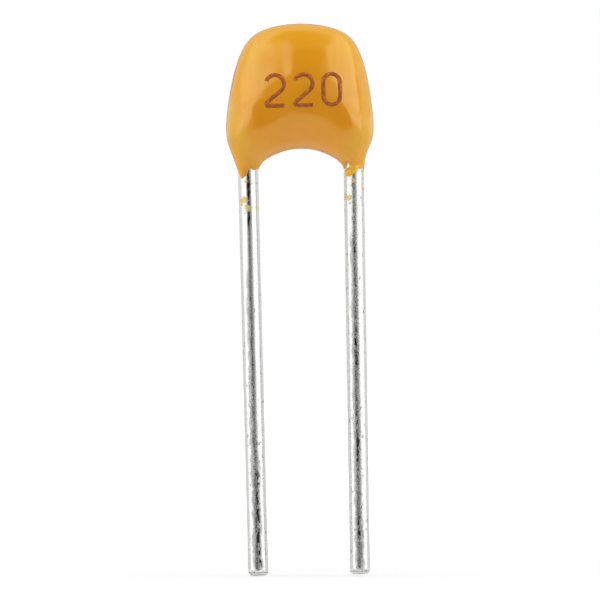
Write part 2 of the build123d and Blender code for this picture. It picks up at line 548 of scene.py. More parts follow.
def round_lead(turn, radius):
    """Where a turn in radians from the front and a radius lead, from the middle of a lead."""
    return Vector((radius * math.sin(turn), -radius * math.cos(turn), 0))


def turn_gap(first, second):
    """Difference of two turns, between -180 and 180 degrees."""
    return (first - second + 180) % 360 - 180


def hem_height(side, turn):
    """Height of a leg's ragged hem at a turn round its lead."""
    height = HEM_LEVEL_MM[side]
    for wave_turn, spread, rise in HEM_WAVES[side]:
        height += rise * math.exp(-((turn_gap(turn, wave_turn) / spread) ** 2))
    return height * MM


def coat_section(coat, side, shares, dip=0.0):
    """Inner end, outer end and half depth of one oval section, on the side asked for."""
    reach, bulge, rise, arch_reach, arch_rise, swell = shares
    leg_radius = LEAD_RADIUS + coat.film
    leg_reach = LEAD_PITCH / 2 + leg_radius
    arch_half_span = LEAD_PITCH / 2 - leg_radius
    outer_x = side * (reach * leg_reach + (bulge + dip) * coat.bulge) + swell * coat.shift
    outer = Vector((outer_x, 0, rise * (COAT_HIGH.z + coat.crown)))
    inner = Vector((side * arch_reach * arch_half_span, 0, arch_rise * coat.arch_height))
    return inner, outer, leg_radius + swell * (COAT_HIGH.y - leg_radius)


def pushed_out(before, here, after):
    """A value moved out by what the smooth skin will draw it in."""
    return here - (before - 2 * here + after) / 6


def add_leg(bm, side, first_ring, coat):
    """Rings of one leg, from inside the lead, round the ragged hem, up to below the first oval section."""
    centre = Vector((LEAD_X[side], 0, 0))
    section = [vert.co.copy() for vert in first_ring[0]]
    hem_radius = LEAD_RADIUS + coat.hem_film
    tuck_radius = LEAD_RADIUS - coat.hem_film
    steps = [(tuck_radius, 0.0), (hem_radius, 0.0)]
    steps += [(hem_radius, share) for share in LEG_RING_SHARES]
    rings = []
    for radius, share in steps:
        ring = add_ring(bm, Matrix(), coat.segments)
        for vert, target in zip(ring[0], section):
            turn = turn_from_front(target, centre.x)
            hem = centre + round_lead(math.radians(turn), radius)
            hem.z = hem_height(side, turn)
            vert.co = hem.lerp(target, share ** LEG_FLARE[side])
            vert.co.y = hem.y + (target.y - hem.y) * share**LEG_DEPTH_FLARE
            vert.co.z = hem.z + (target.z - hem.z) * share
        rings.append(ring)
    return rings


def make_coat(coat):
    """The dipped coat: fanned oval sections from leg to leg over the top, with ragged hems on the leads."""
    halves = {}
    for side, dips in DIP_SHARES.items():
        halves[side] = [coat_section(coat, side, *row) for row in zip(COAT_SECTION_SHARES, dips)]
    sections = [*halves[1], coat_section(coat, 1, COAT_MIDDLE_SHARES), *reversed(halves[-1])]
    placed = [sections[0]]
    for before, here, after in zip(sections, sections[1:], sections[2:]):
        placed.append(tuple(pushed_out(*values) for values in zip(before, here, after)))
    placed.append(sections[-1])
    bm = bmesh.new()
    ovals = [add_ring(bm, oval_matrix(*section), coat.segments) for section in placed]
    right_leg = add_leg(bm, 1, ovals[0], coat)
    left_leg = add_leg(bm, -1, ovals[-1], coat)
    rings = [*right_leg, *ovals, *reversed(left_leg)]
    bridge_rings(bm, rings)
    close_ends(bm, rings)
    face_outwards(bm)
    for verts, _ in ovals[1:-1]:
        for vert in verts:
            vert.co += vert.normal * coat.waviness * noise.noise(vert.co / COAT_WAVE)
    piece = set_piece("dipped_coat", bm)
    add_subdivision(piece, 2)
    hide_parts("epoxy_coating")
    return piece


def lead_lean(side):
    """Angle of a bare lead's run off the upright, towards the right."""
    axis = PIN_AXES[LEAD_NAMES[side] + "_pin"]
    return math.atan2(axis.x, -axis.z)


def extrude_edges(bm, edges, matrix, steps=1):
    """Draws edges on by as many steps, each taken through the matrix, and returns the last ones."""
    for _ in range(steps):
        drawn = bmesh.ops.extrude_edge_only(bm, edges=edges)["geom"]
        verts = [item for item in drawn if isinstance(item, bmesh.types.BMVert)]
        bmesh.ops.transform(bm, matrix=matrix, verts=verts)
        edges = [item for item in drawn if isinstance(item, bmesh.types.BMEdge)]
    return edges


def make_wire(side, wire):
    """One tinned wire: upright in the coat, bent a little below it, straight to its rounded cut end."""
    lean = lead_lean(side)
    centre_x = LEAD_X[side]
    top = LEAD_HIGH[side].z
    down = Vector((0, 0, -(top + wire.bend_depth) / wire.upright_rings))
    pivot = Matrix.Translation((centre_x + wire.bend_radius, 0, -wire.bend_depth))
    turn = pivot @ Matrix.Rotation(-lean / wire.bend_rings, 4, "Y") @ pivot.inverted()
    run = Vector((math.sin(lean), 0, -math.cos(lean))) * wire.length / wire.rings
    bm = bmesh.new()
    start = Matrix.Translation((centre_x, 0, top)) @ Matrix.Diagonal((LEAD_RADIUS, LEAD_RADIUS, 1, 1))
    _, edges = add_ring(bm, start, wire.segments)
    bmesh.ops.contextual_create(bm, geom=edges)
    edges = extrude_edges(bm, edges, Matrix.Translation(down), wire.upright_rings)
    edges = extrude_edges(bm, edges, turn, wire.bend_rings)
    edges = extrude_edges(bm, edges, Matrix.Translation(run), wire.rings)
    bmesh.ops.contextual_create(bm, geom=edges)
    bmesh.ops.bevel(
        bm, geom=edges, offset=wire.end_round, offset_type="OFFSET",
        affect="EDGES", segments=5, profile=0.5, material=-1,
    )
    face_outwards(bm)
    for vert in bm.verts:
        place = Vector(value / size for value, size in zip(vert.co, TIN_RIPPLE))
        vert.co += vert.normal * wire.waviness * noise.noise(place)
    piece = set_piece(WIRE_NAMES[side], bm)
    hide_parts(LEAD_NAMES[side])
    return piece


def lead_middle(side, height, wire):
    """Centre of a lead at a height, bend included."""
    lean = lead_lean(side)
    drop = -wire.bend_depth - height
    if drop <= 0:
        return Vector((LEAD_X[side], 0, height))
    bent_share = min(1, drop / wire.bend_radius / lean)
    return Vector((LEAD_X[side] + drop * math.tan(lean) * bent_share, 0, height))


def add_fleck(bm, row, wire):
    """One scrap of epoxy wrapped on a lead: a ball flattened round it, with a ragged outline."""
    side, turn, height, half_width, half_height, thickness, tilt = row
    cover = bm.verts.layers.float.get("cover") or bm.verts.layers.float.new("cover")
    verts = bmesh.ops.create_icosphere(bm, subdivisions=4, radius=1.0)["verts"]
    slant = Matrix.Rotation(math.radians(tilt), 2)
    own_noise = Vector((turn, height * 10, side))
    for vert in verts:
        vert[cover] = 1 - math.hypot(vert.co.x, vert.co.z)
        rough = 1 + FLECK_RAGGED_SHARE * noise.noise(vert.co * FLECK_RAGGED_SCALE + own_noise)
        across, up = slant @ Vector((vert.co.x * half_width * rough, vert.co.z * half_height * rough))
        radius = LEAD_RADIUS + vert.co.y * thickness * MM
        angle = math.radians(turn) + across * MM / LEAD_RADIUS
        vert.co = lead_middle(side, (height + up) * MM, wire) + round_lead(angle, radius)
    # Wrapped on a lead, the ball is a mirror image of itself and so inside out
    bmesh.ops.reverse_faces(bm, faces=list({face for vert in verts for face in vert.link_faces}))


def make_scraps(name, rows, wire):
    """Scraps of epoxy in one piece."""
    bm = bmesh.new()
    for row in rows:
        add_fleck(bm, row, wire)
    return set_piece(name, bm)


class Pen:
    """Draws a flat stroke in the XZ plane by extruding and turning one edge."""

    def __init__(self, bm, point, heading, width):
        """Starts at a point, facing a heading in degrees from +X towards +Z."""
        self.bm = bm
        self.point = Vector(point)
        self.heading = math.radians(heading)
        side = self.left() * width / 2
        ends = [bm.verts.new(self.point + side), bm.verts.new(self.point - side)]
        self.edges = [bm.edges.new(ends)]

    def ahead(self):
        """Direction of travel."""
        return Vector((math.cos(self.heading), 0, math.sin(self.heading)))

    def left(self):
        """Direction to the left of travel."""
        return Vector((-math.sin(self.heading), 0, math.cos(self.heading)))

    def line(self, length, steps):
        """Draws straight on."""
        way = self.ahead() * length
        self.edges = extrude_edges(self.bm, self.edges, Matrix.Translation(way / steps), steps)
        self.point += way

    def arc(self, radius, degrees, steps):
        """Draws an arc, to the left for a positive angle."""
        angle = math.radians(degrees)
        centre = self.point + self.left() * math.copysign(radius, angle)
        step = Matrix.Rotation(-angle / steps, 4, "Y")
        turn = Matrix.Translation(centre) @ step @ Matrix.Translation(-centre)
        self.edges = extrude_edges(self.bm, self.edges, turn, steps)
        for _ in range(steps):
            self.point = turn @ self.point
        self.heading += angle


def draw_two(bm, corner, mark):
    """Figure 2: a hook, a diagonal and a foot, in one stroke."""
    radius = mark.width / 2
    half_stroke = mark.stroke / 2
    pivot = corner + Vector((half_stroke, 0, half_stroke))
    hub = corner + Vector((radius, 0, mark.height - radius))
    reach = hub - pivot
    outer_radius = radius + half_stroke
    spread = math.degrees(math.asin(outer_radius / reach.length))
    slope = math.degrees(math.atan2(reach.z, reach.x)) - spread
    diagonal = math.sqrt(reach.length_squared - outer_radius**2)
    start_turn = 160
    start_angle = math.radians(start_turn)
    start = hub + radius * Vector((math.cos(start_angle), 0, math.sin(start_angle)))
    pen = Pen(bm, start, start_turn - 90, mark.stroke)
    pen.arc(radius, -(start_turn + 90 - slope), steps=22)
    pen.line(diagonal, steps=10)
    pen.arc(half_stroke, 180 - slope, steps=6)
    pen.line(mark.width - half_stroke, steps=8)


def draw_nought(bm, corner, mark):
    """Figure 0: two straight sides and two half rounds, a little narrower than a 2."""
    radius_share = 0.46
    radius = mark.width * radius_share
    side = mark.height - 2 * radius
    pen = Pen(bm, corner + Vector((0, 0, radius + side / 2)), 90, mark.stroke)
    pen.line(side / 2, steps=4)
    pen.arc(radius, -180, steps=18)
    pen.line(side, steps=8)
    pen.arc(radius, -180, steps=18)
    pen.line(side / 2, steps=4)


def make_mark(mark, coat_piece):
    """The printed value: strokes laid on the front of the coat as a thin film of ink."""
    merge_distance = 0.001 * MM
    in_front = -10 * MM
    figures = (draw_two, draw_two, draw_nought)
    bm = bmesh.new()
    for place, draw in enumerate(figures):
        draw(bm, Vector((mark.left + place * mark.advance, 0, mark.foot)), mark)
    bmesh.ops.remove_doubles(bm, verts=bm.verts, dist=merge_distance)
    hub = Vector((mark.left + len(figures) / 2 * mark.advance, 0, mark.foot))
    bmesh.ops.rotate(bm, verts=bm.verts, cent=hub, matrix=Matrix.Rotation(-mark.tilt, 3, "Y"))
    skin = BVHTree.FromObject(coat_piece, bpy.context.evaluated_depsgraph_get())
    noise.seed_set(PRINT_SEED)
    for vert in bm.verts:
        jitter = noise.noise_vector(vert.co / PRINT_RIPPLE) * mark.ragged
        start = Vector((vert.co.x + jitter.x, in_front, vert.co.z + jitter.z))
        hit = skin.ray_cast(start, Vector((0, 1, 0)))[0]
        if hit is None:
            raise RuntimeError("the value print misses the coat")
        vert.co = hit
    bm.normal_update()
    bmesh.ops.recalc_face_normals(bm, faces=bm.faces)
    bmesh.ops.translate(bm, verts=bm.verts, vec=(0, -mark.thickness / 2, 0))
    bmesh.ops.solidify(bm, geom=bm.faces[:], thickness=mark.thickness)
    bmesh.ops.recalc_face_normals(bm, faces=bm.faces)
    return set_piece("value_mark", bm)


# Shader nodes


def set_inputs(tree, node, inputs):
    """Sets a node's sockets by name or number: another socket is linked, anything else is a plain value."""
    for name, value in inputs.items():
        if isinstance(value, bpy.types.NodeSocket):
            tree.links.new(value, node.inputs[name])
        else:
            node.inputs[name].default_value = value


def add_node(tree, kind, settings=None, inputs=None):
    """One shader node with its settings and sockets."""
    node = tree.nodes.new(kind)
    for name, value in (settings or {}).items():
        setattr(node, name, value)
    set_inputs(tree, node, inputs or {})
    return node


def math_node(tree, operation, first, second=0.0, third=0.0):
    """One sum on values or sockets."""
    node = add_node(
        tree, "ShaderNodeMath", settings={"operation": operation}, inputs={0: first, 1: second, 2: third}
    )
    return node.outputs[0]


def product(tree, first, *others):
    """Values multiplied together."""
    for other in others:
        first = math_node(tree, "MULTIPLY", first, other)
    return first


def greatest(tree, first, *others):
    """The greatest of some values."""
    for other in others:
        first = math_node(tree, "MAXIMUM", first, other)
    return first


def vector_length(tree, vector):
    """Length of a vector."""
    node = add_node(tree, "ShaderNodeVectorMath", settings={"operation": "LENGTH"}, inputs={0: vector})
    return node.outputs["Value"]


def split_axes(tree, vector):
    """The X, Y and Z of a vector."""
    return add_node(tree, "ShaderNodeSeparateXYZ", inputs={"Vector": vector}).outputs


def remap(tree, value, low, high, out_low, out_high):
    """A value taken from one range to another, clamped."""
    node = add_node(
        tree,
        "ShaderNodeMapRange",
        inputs={"Value": value, "From Min": low, "From Max": high, "To Min": out_low, "To Max": out_high},
    )
    return node.outputs["Result"]


def soft_step(tree, value, low, high):
    """A mask that rises smoothly from 0 to 1 between two values, or falls if low is above high."""
    node = add_node(
        tree,
        "ShaderNodeMapRange",
        settings={"interpolation_type": "SMOOTHSTEP"},
        inputs={"Value": value, "From Min": low, "From Max": high},
    )
    return node.outputs["Result"]


def mix_colours(tree, factor, first, second):
    """Colour between two others, by a mask."""
    # The node's sockets for numbers and colours share their names, so they go by number
    node = add_node(
        tree, "ShaderNodeMix", settings={"data_type": "RGBA"}, inputs={0: factor, 6: first, 7: second}
    )
    return node.outputs[2]


def add_bump(tree, height, distance, strength):
    """Normal with fine relief."""
    inputs = {"Height": height, "Distance": distance, "Strength": strength}
    return add_node(tree, "ShaderNodeBump", inputs=inputs).outputs["Normal"]


def mottle_group():
    """Shared effect: broad clouds and fine grain, as masks from 0 to 1."""
    name = "Mottle"
    if name in bpy.data.node_groups:
        return bpy.data.node_groups[name]
    tree = bpy.data.node_groups.new(name, "ShaderNodeTree")
    tree.interface.new_socket("Vector", in_out="INPUT", socket_type="NodeSocketVector")
    defaults = {"Broad Scale": 1000.0, "Fine Scale": 8000.0, "Broad Detail": 3.0, "Fine Detail": 5.0}
    for label, value in defaults.items():
        tree.interface.new_socket(label, in_out="INPUT", socket_type="NodeSocketFloat").default_value = value
    for label in ("Broad", "Fine"):
        tree.interface.new_socket(label, in_out="OUTPUT", socket_type="NodeSocketFloat")
    source = add_node(tree, "NodeGroupInput").outputs
    target = add_node(tree, "NodeGroupOutput")
    for label in ("Broad", "Fine"):
        cloud = add_node(
            tree,
            "ShaderNodeTexNoise",
            inputs={
                "Vector": source["Vector"],
                "Scale": source[label + " Scale"],
                "Detail": source[label + " Detail"],
                "Roughness": 0.55,
            },
        )
        set_inputs(tree, target, {label: soft_step(tree, cloud.outputs["Fac"], 0.3, 0.7)})
    return tree


def add_mottle(tree, vector, broad, fine, broad_detail=3.0):
    """The shared mottle's masks, at this material's own scales."""
    return add_node(
        tree,
        "ShaderNodeGroup",
        settings={"node_tree": mottle_group()},
        inputs={"Vector": vector, "Broad Scale": broad, "Fine Scale": fine, "Broad Detail": broad_detail},
    ).outputs


# Materials


def start_material(name):
    """A material with a plain Principled shader, its tree and the object's own coordinates."""
    material = bpy.data.materials.new(name)
    material.use_nodes = True
    tree = material.node_tree
    shader = tree.nodes["Principled BSDF"]
    place = add_node(tree, "ShaderNodeTexCoord").outputs["Object"]
    return material, tree, shader, place


def opaque(colour, gain=1.0):
    """A colour property as a shader colour, lighter or darker by a gain."""
    return (colour[0] * gain, colour[1] * gain, colour[2] * gain, 1.0)


def painted_highlight_tint_mask(tree, place):
    """A mask that rises towards the coat's outline, as seen from the front, for the painted highlight tint."""
    middle = (COAT_LOW + COAT_HIGH) / 2
    half = (COAT_HIGH - COAT_LOW) / 2
    spread = add_node(
        tree,
        "ShaderNodeMapping",
        inputs={
            "Vector": place,
            "Location": (-middle.x / half.x, 0, -middle.z / half.z),
            "Scale": (1 / half.x, 0, 1 / half.z),
        },
    )
    return soft_step(tree, vector_length(tree, spread.outputs["Vector"]), *HIGHLIGHT_TINT_SHARES)


def epoxy_material(name, coat, thin_colour, thin_top, sheen):
    """Glossy pigmented epoxy, redder towards the bottom, with a painted highlight tint that turns it yellower
    round the rim, of another colour below where it runs thin.
    """
    material, tree, shader, place = start_material(name)
    mottle = add_mottle(tree, place, broad=900.0, fine=9000.0)
    waves = add_mottle(tree, place, broad=1300.0, fine=2600.0, broad_detail=0.5)
    height = split_axes(tree, place)["Z"]
    # Redder towards the bottom
    lower_share = remap(tree, height, *LOWER_TONE_HEIGHTS, 0.0, 1.0)
    tones = []
    for gain in CLOUD_GAINS:
        tones.append(mix_colours(tree, lower_share, opaque(coat.colour, gain), opaque(coat.low_colour, gain)))
    cloudy = mix_colours(tree, mottle["Broad"], *tones)
    # Painted highlight tint: yellower towards the outline, where the highlights fall
    highlight_tinted = mix_colours(tree, painted_highlight_tint_mask(tree, place), cloudy, opaque(coat.rim_highlight_tint_colour))
    thin = remap(tree, height, thin_top, thin_top - THIN_FADE, 0.0, 1.0)
    full = math_node(tree, "SUBTRACT", 1.0, thin)
    glossy = remap(tree, mottle["Fine"], 0, 1, *sheen)
    inputs = {
        "Base Color": mix_colours(tree, thin, highlight_tinted, opaque(thin_colour)),
        "Roughness": math_node(tree, "MULTIPLY_ADD", thin, THIN_DULLING, glossy),
        "IOR": 1.62,
        "Specular IOR Level": 0.87,
        "Specular Tint": (0.72, 0.88, 0.52, 1.0),
        "Subsurface Weight": 0.12,
        "Subsurface Radius": (1.0, 0.5, 0.15),
        "Subsurface Scale": 0.15 * MM,
        "Normal": add_bump(tree, product(tree, waves["Broad"], full), distance=0.035 * MM, strength=0.8),
    }
    set_inputs(tree, shader, inputs)
    return material


def fleck_material(coat):
    """A thin ragged film of the same epoxy, yellow where the metal shines through."""
    material, tree, shader, place = start_material("epoxy scraps")
    mottle = add_mottle(tree, place, broad=9000.0, fine=24000.0)
    cover = add_node(tree, "ShaderNodeAttribute", settings={"attribute_name": "cover"}).outputs["Fac"]
    ragged = math_node(tree, "MULTIPLY_ADD", mottle["Fine"], -FLECK_GRAIN, cover)
    colours = opaque(coat.scrap_colour), opaque(coat.pale_scrap_colour)
    inputs = {
        "Base Color": mix_colours(tree, mottle["Broad"], *colours),
        "Roughness": remap(tree, mottle["Fine"], 0, 1, 0.2, 0.35),
        "Alpha": product(tree, soft_step(tree, ragged, *FLECK_COVERS), FLECK_DENSITY),
        "IOR": 1.58,
    }
    set_inputs(tree, shader, inputs)
    return material


def lead_across(tree, axes, side, wire):
    """How far right of a leaning wire's middle a point lies."""
    drop = math_node(tree, "MULTIPLY_ADD", axes["Z"], -1.0, -wire.bend_depth)
    drop = greatest(tree, drop, 0.0)
    straight = math_node(tree, "MULTIPLY_ADD", drop, -math.tan(lead_lean(side)), axes["X"])
    return math_node(tree, "SUBTRACT", straight, LEAD_X[side])


def painted_reflection_mask(tree, row, across, wobble, breaks, axes):
    """One ragged band of painted reflection along the front of a wire, as a mask from 0 to 1."""
    middle, half_width, soft, low, high, broken = row
    strayed = math_node(tree, "MULTIPLY_ADD", wobble, PAINTED_REFLECTION_STRAY_MM * MM, across)
    gap = math_node(tree, "SUBTRACT", strayed, (middle + PAINTED_REFLECTION_STRAY_MM / 2) * MM)
    gap = math_node(tree, "ABSOLUTE", gap)
    beside = soft_step(tree, gap, (half_width + soft) * MM, (half_width - soft) * MM)
    above = soft_step(tree, axes["Z"], (low - PAINTED_REFLECTION_LOW_FADE_MM) * MM, (low + PAINTED_REFLECTION_LOW_FADE_MM) * MM)
    under = soft_step(tree, axes["Z"], (high + PAINTED_REFLECTION_HIGH_FADE_MM) * MM, (high - PAINTED_REFLECTION_HIGH_FADE_MM) * MM)
    front = soft_step(tree, axes["Y"], 0.0, -PAINTED_REFLECTION_FRONT)
    kept = math_node(tree, "MULTIPLY_ADD", soft_step(tree, breaks, *PAINTED_REFLECTION_BREAKS), -broken, 1.0)
    return product(tree, beside, above, under, kept, front)


def tin_material(wire):
    """Bright tinned wire, grainy from the dip, smoother on the left wire close to the coat, with painted
    reflection.
    """
    material, tree, shader, place = start_material("tinned wire")
    drawn = add_node(tree, "ShaderNodeMapping", inputs={"Vector": place, "Scale": (1.0, 1.0, 0.65)})
    mottle = add_mottle(tree, drawn.outputs["Vector"], broad=4500.0, fine=24000.0)
    grain = add_mottle(tree, drawn.outputs["Vector"], broad=10000.0, fine=30000.0)
    axes = split_axes(tree, place)

    pits = soft_step(tree, grain["Broad"], 0.90, 1.0)
    colour = mix_colours(tree, pits, opaque(wire.colour), opaque(wire.pit_and_reflection_colour))
    across = {side: lead_across(tree, axes, side, wire) for side in SIDES}
    # Dull and dark bands down the wires' fronts: painted reflection of the studio's dark front, laid into the
    # colour
    tones = {"dull": wire.pit_and_reflection_colour, "dark": wire.dark_reflection_colour}
    for side, tone, *row in PAINTED_REFLECTION_ROWS:
        mask = painted_reflection_mask(tree, row, across[side], mottle["Broad"], grain["Broad"], axes)
        colour = mix_colours(tree, mask, colour, opaque(tones[tone]))

    left = soft_step(tree, axes["X"], *LEFT_PLACES)
    calm = product(tree, left, soft_step(tree, axes["Z"], *CALM_HEIGHTS))
    bright = product(tree, left, soft_step(tree, axes["Z"], *BRIGHT_HEIGHTS))
    coarse = remap(tree, calm, 0, 1, 0.36, 0.06)
    base = remap(tree, bright, 0, 1, remap(tree, calm, 0, 1, 0.10, 0.24), 0.08)
    grainy = math_node(tree, "MULTIPLY_ADD", mottle["Fine"], coarse, base)
    wire_end = remap(tree, left, 0, 1, LEAD_LOW[1].z, LEAD_LOW[-1].z)
    cut = soft_step(tree, math_node(tree, "SUBTRACT", axes["Z"], wire_end), *CUT_HEIGHTS)
    relief = product(tree, mottle["Broad"], remap(tree, calm, 0, 1, 1.0, 0.3))
    inputs = {
        "Base Color": colour,
        "Roughness": math_node(tree, "MULTIPLY_ADD", cut, 0.35, grainy),
        "Metallic": remap(tree, cut, 0, 1, 1.0, 0.15),
        "Normal": add_bump(tree, relief, distance=0.0011 * MM, strength=0.9),
    }
    set_inputs(tree, shader, inputs)
    return material


def ink_material(mark):
    """Brown-red print, grainy, with the coat showing in specks."""
    material, tree, shader, place = start_material("value ink")
    mottle = add_mottle(tree, place, broad=9000.0, fine=22000.0)
    dense = mix_colours(tree, mottle["Broad"], *[opaque(mark.colour, gain) for gain in INK_GAINS])
    specks = soft_step(tree, mottle["Fine"], 0.72, 1.0)
    inputs = {
        "Base Color": mix_colours(tree, specks, dense, opaque(mark.speck_colour)),
        "Roughness": remap(tree, mottle["Fine"], 0, 1, 0.30, 0.42),
        "Specular IOR Level": 0.15,
    }
    set_inputs(tree, shader, inputs)
    return material


def core_material(name, dark, light, metallic, roughness, scale):
    """A finish for a part inside the coat: two tones, grain and slight relief."""
    material, tree, shader, place = start_material(name)
    fine_gain = 6
    rough_gains = (0.8, 1.2)
    mottle = add_mottle(tree, place, broad=scale, fine=scale * fine_gain)
    inputs = {
        "Base Color": mix_colours(tree, mottle["Broad"], opaque(dark), opaque(light)),
        "Roughness": remap(tree, mottle["Fine"], 0, 1, *[roughness * gain for gain in rough_gains]),
        "Metallic": metallic,
        "Normal": add_bump(tree, mottle["Fine"], distance=0.003 * MM, strength=0.5),
    }
    set_inputs(tree, shader, inputs)
    return material


def set_material(piece, material):
    """Gives a piece one material all over."""
    piece.data.materials.clear()
    piece.data.materials.append(material)


# Studio


def seen_mask(tree, path):
    """Mask of the rays that see the background: camera and see-through rays."""
    return greatest(tree, path["Is Camera Ray"], path["Is Transmission Ray"])


def floor_material():
    """Pale floor: white to the view, with the part's shadow on it close to the part."""
    material = bpy.data.materials.new("pale floor")
    material.use_nodes = True
    tree = material.node_tree
    tree.nodes.clear()
    path = add_node(tree, "ShaderNodeLightPath").outputs
    seen = seen_mask(tree, path)
    away = vector_length(tree, add_node(tree, "ShaderNodeTexCoord").outputs["Object"])
    pale = (0.80, 0.80, 0.80, 1)
    grey = (0.32, 0.32, 0.32, 1)
    near_level = 0.57
    plain = add_node(tree, "ShaderNodeBsdfDiffuse", inputs={"Color": pale})
    shaded = add_node(tree, "ShaderNodeBsdfDiffuse", inputs={"Color": grey})
    level = remap(tree, away, *FLOOR_SHADE_REACHES, near_level, 1.0)
    glow = add_node(tree, "ShaderNodeEmission", inputs={"Strength": level})
    lit = add_node(tree, "ShaderNodeAddShader", inputs={0: shaded.outputs[0], 1: glow.outputs[0]})
    mix = add_node(tree, "ShaderNodeMixShader", inputs={0: seen, 1: plain.outputs[0], 2: lit.outputs[0]})
    add_node(tree, "ShaderNodeOutputMaterial", inputs={"Surface": mix.outputs[0]})
    return material


def make_floor():
    """A flat floor under the part. Polished surfaces see the studio's ground in its place."""
    bm = bmesh.new()
    place = Matrix.Translation((0, 0, CAD_LOW.z - FLOOR_GAP))
    bmesh.ops.create_grid(bm, x_segments=1, y_segments=1, size=FLOOR_REACH, matrix=place)
    mesh = bpy.data.meshes.new("floor")
    bm.to_mesh(mesh)
    bm.free()
    floor = bpy.data.objects.new("floor", mesh)
    set_material(floor, floor_material())
    bpy.context.scene.collection.objects.link(floor)
    floor.visible_glossy = False


def add_sky(tree):
    """Where a ray looks: degrees aside and up, how far to the back, and a mask round eye level."""
    axes = split_axes(tree, add_node(tree, "ShaderNodeTexCoord").outputs["Generated"])
    aside = math_node(tree, "DEGREES", math_node(tree, "ARCSINE", axes["X"]))
    rise = math_node(tree, "DEGREES", math_node(tree, "ARCSINE", axes["Z"]))
    eye = soft_step(tree, math_node(tree, "ABSOLUTE", rise), *EYE_RISES)
    return {"aside": aside, "rise": rise, "depth": axes["Y"], "eye": eye}


def wall_mask(tree, sky, wall):
    """One soft wall, as a mask."""
    rise = sky["rise"]
    out = math_node(tree, "MULTIPLY", sky["aside"], wall["side"])
    low = remap(tree, rise, 0.0, FAN_RISE, FAN_RISE, 0.0)
    below = greatest(tree, math_node(tree, "MULTIPLY", rise, -1.0), 0.0)
    slanted = math_node(tree, "MULTIPLY_ADD", low, -wall["fan"], out)
    slanted = math_node(tree, "MULTIPLY_ADD", below, -wall["low_fan"], slanted)
    inner = soft_step(tree, slanted, wall["edge"] - wall["soft"], wall["edge"] + wall["soft"])
    raised = greatest(tree, rise, LEAN_RISE)
    behind = math_node(tree, "MULTIPLY_ADD", raised, -wall["lean"], sky["depth"])
    outer = soft_step(tree, behind, wall["far"], wall["near"])
    upper = soft_step(tree, rise, wall["top"] + wall["top_soft"], wall["top"] - wall["top_soft"])
    shade = remap(tree, rise, *SHADE_RISES, 1.0, wall["high_share"])
    return product(tree, inner, outer, upper, shade)


def walls_seen(tree, sky):
    """Level of the two walls: weaker high up at the back and at eye level, and gone below."""
    walls = greatest(tree, *[wall_mask(tree, sky, wall) for wall in WALLS])
    high = soft_step(tree, sky["rise"], *ROOF_RISES)
    rearward = soft_step(tree, sky["depth"], *ROOF_DEPTHS)
    roofed = remap(tree, product(tree, high, rearward), 0, 1, 1.0, ROOF_SHARE)
    foot = soft_step(tree, sky["rise"], *FOOT_RISES)
    eye_share = remap(tree, sky["eye"], 0, 1, 1.0, EYE_WALL_SHARE)
    return product(tree, walls, roofed, foot, eye_share, WALL_LEVEL)


def back_seen(tree, sky):
    """Level of the back: brightest at eye level, dimmer low down and straight behind."""
    level = remap(tree, sky["rise"], *BACK_RISES, LOW_BACK_LEVEL, HIGH_BACK_LEVEL)
    low_share = remap(tree, sky["rise"], *LOW_BACK_RISES, LOW_BACK_SHARE, 1.0)
    back = product(tree, soft_step(tree, sky["depth"], *BACK_DEPTHS), level, low_share)
    eye_back = product(tree, soft_step(tree, sky["depth"], *EYE_BACK_DEPTHS), EYE_BACK_LEVEL, sky["eye"])
    far_share = remap(tree, sky["depth"], *FAR_BACK_DEPTHS, 1.0, FAR_BACK_SHARE)
    return product(tree, greatest(tree, back, eye_back), far_share)


def ground_seen(tree, sky):
    """Level of the ground, whose edge rises towards the sides."""
    aside = math_node(tree, "ABSOLUTE", sky["aside"])
    edge = math_node(tree, "MULTIPLY_ADD", aside, -GROUND_LIFT, sky["rise"])
    steep = greatest(tree, math_node(tree, "SUBTRACT", aside, GROUND_STEEP_ASIDE), 0.0)
    edge = math_node(tree, "MULTIPLY_ADD", steep, -GROUND_STEEP_LIFT, edge)
    return product(tree, soft_step(tree, edge, *GROUND_RISES), GROUND_LEVEL)


def front_seen(tree, sky):
    """Level of the dark front, with a haze at eye level round a dark core."""
    core = math_node(tree, "ABSOLUTE", math_node(tree, "SUBTRACT", sky["aside"], HAZE_CORE_ASIDE))
    haze = product(tree, sky["eye"], remap(tree, core, *HAZE_CORE_WIDTHS, HAZE_CORE_SHARE, 1.0))
    return math_node(tree, "MULTIPLY_ADD", haze, HAZE_LEVEL, DARK_LEVEL)


def studio_level(tree):
    """What polished surfaces see round the part: two soft walls, a pale back and ground and a dark front."""
    sky = add_sky(tree)
    return greatest(
        tree, walls_seen(tree, sky), back_seen(tree, sky), ground_seen(tree, sky), front_seen(tree, sky)
    )


def make_world(stage):
    """White to the view, a studio to polished surfaces and a plain pale room to all else."""
    world = bpy.data.worlds.new("studio")
    world.use_nodes = True
    world.cycles.sampling_method = "NONE"
    tree = world.node_tree
    tree.nodes.clear()
    path = add_node(tree, "ShaderNodeLightPath").outputs
    seen = seen_mask(tree, path)
    shaders = {}
    for name, level in (("room", stage.room_level), ("studio", studio_level(tree)), ("white", 1.0)):
        background = add_node(tree, "ShaderNodeBackground", inputs={"Color": (1, 1, 1, 1), "Strength": level})
        shaders[name] = background.outputs[0]
    polished = path["Is Glossy Ray"]
    around = add_node(
        tree, "ShaderNodeMixShader", inputs={0: polished, 1: shaders["room"], 2: shaders["studio"]}
    )
    mix = add_node(tree, "ShaderNodeMixShader", inputs={0: seen, 1: around.outputs[0], 2: shaders["white"]})
    add_node(tree, "ShaderNodeOutputWorld", inputs={"Surface": mix.outputs[0]})
    bpy.context.scene.world = world


